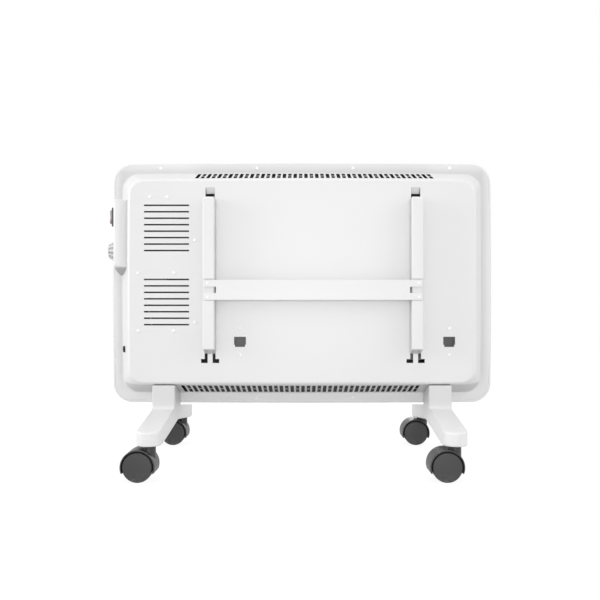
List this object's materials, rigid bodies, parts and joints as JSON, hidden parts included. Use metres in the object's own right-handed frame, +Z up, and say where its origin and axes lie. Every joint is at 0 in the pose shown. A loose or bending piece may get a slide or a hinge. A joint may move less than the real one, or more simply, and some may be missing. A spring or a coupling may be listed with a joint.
{
  "type": "convector heater",
  "caption": "Free-standing panel convector heater on castor feet: folded front panel, slanted vented rear casing, side control box with rocker and knob, and a hook-on wall bracket",
  "frame": {"origin": "on the floor, under the middle of the heater's bounding box", "axes": "+Z up; the front panel faces -Y and the vented rear casing +Y; the controls are on the +X side"},
  "size_m": [0.64, 0.32, 0.4965],
  "materials": {
    "white_paint": "white semi-gloss powder coat, faint fine texture",
    "white_moulding": "white satin moulding",
    "black_moulding": "dark satin moulding",
    "castor_moulding": "dark grey satin nylon",
    "grey_moulding": "light grey satin moulding",
    "rocker_moulding": "grey glossy moulding with a warm lower half",
    "zinc_plate": "bright zinc plated steel",
    "aluminium": "mill finish extrusion",
    "heat_sheath": "heat tinted steel tube",
    "lead_sleeve": "woven heat-proof sleeve"
  },
  "bodies": {
    "heater": {"front_panel": "white_paint", "rear_casing": "white_paint", "control_box": "white_moulding", "switch_body": "black_moulding", "thermostat_body": "black_moulding", "cord_inlet": "black_moulding", "element_support_right": "black_moulding", "element_support_left": "black_moulding", "bracket_channel_right": "white_paint", "bracket_channel_left": "white_paint", "bracket_cross_strip": "white_paint", "foot_right": "white_moulding", "foot_left": "white_moulding", "element_fins": "aluminium", "element_sheath": "heat_sheath", "thermal_cutout": "zinc_plate", "tip_over_switch": "black_moulding", "terminal_block": "black_moulding", "harness_clip": "black_moulding", "compartment_partition": "zinc_plate", "lead_block_to_switch": "lead_sleeve", "lead_switch_to_thermostat": "lead_sleeve", "lead_thermostat_to_cutout": "lead_sleeve", "lead_cutout_to_element": "lead_sleeve", "lead_block_to_element": "lead_sleeve", "panel_screw_1": "white_paint", "panel_screw_2": "white_paint", "panel_screw_3": "white_paint", "panel_screw_4": "white_paint", "panel_screw_5": "white_paint", "panel_screw_6": "white_paint", "foot_screw_right_front": "zinc_plate", "foot_screw_right_rear": "zinc_plate", "foot_screw_left_front": "zinc_plate", "foot_screw_left_rear": "zinc_plate"},
    "rocker": {"switch_rocker": "rocker_moulding"},
    "knob": {"thermostat_knob": "grey_moulding", "thermostat_shaft": "zinc_plate"},
    "castor_front_right": {"castor_hood_front_right": "castor_moulding", "castor_stem_front_right": "zinc_plate", "castor_axle_front_right": "zinc_plate"},
    "wheel_front_right_front": {"castor_wheel_front_right_front": "castor_moulding"},
    "wheel_front_right_rear": {"castor_wheel_front_right_rear": "castor_moulding"},
    "castor_rear_right": {"castor_hood_rear_right": "castor_moulding", "castor_stem_rear_right": "zinc_plate", "castor_axle_rear_right": "zinc_plate"},
    "wheel_rear_right_front": {"castor_wheel_rear_right_front": "castor_moulding"},
    "wheel_rear_right_rear": {"castor_wheel_rear_right_rear": "castor_moulding"},
    "castor_front_left": {"castor_hood_front_left": "castor_moulding", "castor_stem_front_left": "zinc_plate", "castor_axle_front_left": "zinc_plate"},
    "wheel_front_left_front": {"castor_wheel_front_left_front": "castor_moulding"},
    "wheel_front_left_rear": {"castor_wheel_front_left_rear": "castor_moulding"},
    "castor_rear_left": {"castor_hood_rear_left": "castor_moulding", "castor_stem_rear_left": "zinc_plate", "castor_axle_rear_left": "zinc_plate"},
    "wheel_rear_left_front": {"castor_wheel_rear_left_front": "castor_moulding"},
    "wheel_rear_left_rear": {"castor_wheel_rear_left_rear": "castor_moulding"}
  },
  "joints": [
    {"name": "rocker_tilt", "type": "hinge", "parent": "heater", "child": "rocker", "pos_m": [0.3096, 0.003, 0.4015], "axis": [0, 1, 0], "range_deg": [-8, 8]},
    {"name": "knob_turn", "type": "hinge", "parent": "heater", "child": "knob", "pos_m": [0.307, 0.003, 0.3456], "axis": [1, 0, 0], "range_deg": [0, 300]},
    {"name": "castor_swivel_front_right", "type": "hinge", "parent": "heater", "child": "castor_front_right", "pos_m": [0.223, -0.14, 0.0513], "axis": [0, 0, 1], "continuous": true},
    {"name": "wheel_turn_front_right_front", "type": "hinge", "parent": "castor_front_right", "child": "wheel_front_right_front", "pos_m": [0.2368, -0.14, 0.022], "axis": [0, 1, 0], "continuous": true},
    {"name": "wheel_turn_front_right_rear", "type": "hinge", "parent": "castor_front_right", "child": "wheel_front_right_rear", "pos_m": [0.2368, -0.14, 0.022], "axis": [0, 1, 0], "continuous": true},
    {"name": "castor_swivel_rear_right", "type": "hinge", "parent": "heater", "child": "castor_rear_right", "pos_m": [0.223, 0.14, 0.0513], "axis": [0, 0, 1], "continuous": true},
    {"name": "wheel_turn_rear_right_front", "type": "hinge", "parent": "castor_rear_right", "child": "wheel_rear_right_front", "pos_m": [0.2368, 0.14, 0.022], "axis": [0, 1, 0], "continuous": true},
    {"name": "wheel_turn_rear_right_rear", "type": "hinge", "parent": "castor_rear_right", "child": "wheel_rear_right_rear", "pos_m": [0.2368, 0.14, 0.022], "axis": [0, 1, 0], "continuous": true},
    {"name": "castor_swivel_front_left", "type": "hinge", "parent": "heater", "child": "castor_front_left", "pos_m": [-0.223, -0.14, 0.0513], "axis": [0, 0, 1], "continuous": true},
    {"name": "wheel_turn_front_left_front", "type": "hinge", "parent": "castor_front_left", "child": "wheel_front_left_front", "pos_m": [-0.2092, -0.14, 0.022], "axis": [0, 1, 0], "continuous": true},
    {"name": "wheel_turn_front_left_rear", "type": "hinge", "parent": "castor_front_left", "child": "wheel_front_left_rear", "pos_m": [-0.2092, -0.14, 0.022], "axis": [0, 1, 0], "continuous": true},
    {"name": "castor_swivel_rear_left", "type": "hinge", "parent": "heater", "child": "castor_rear_left", "pos_m": [-0.223, 0.14, 0.0513], "axis": [0, 0, 1], "continuous": true},
    {"name": "wheel_turn_rear_left_front", "type": "hinge", "parent": "castor_rear_left", "child": "wheel_rear_left_front", "pos_m": [-0.2092, 0.14, 0.022], "axis": [0, 1, 0], "continuous": true},
    {"name": "wheel_turn_rear_left_rear", "type": "hinge", "parent": "castor_rear_left", "child": "wheel_rear_left_rear", "pos_m": [-0.2092, 0.14, 0.022], "axis": [0, 1, 0], "continuous": true}
  ]
}
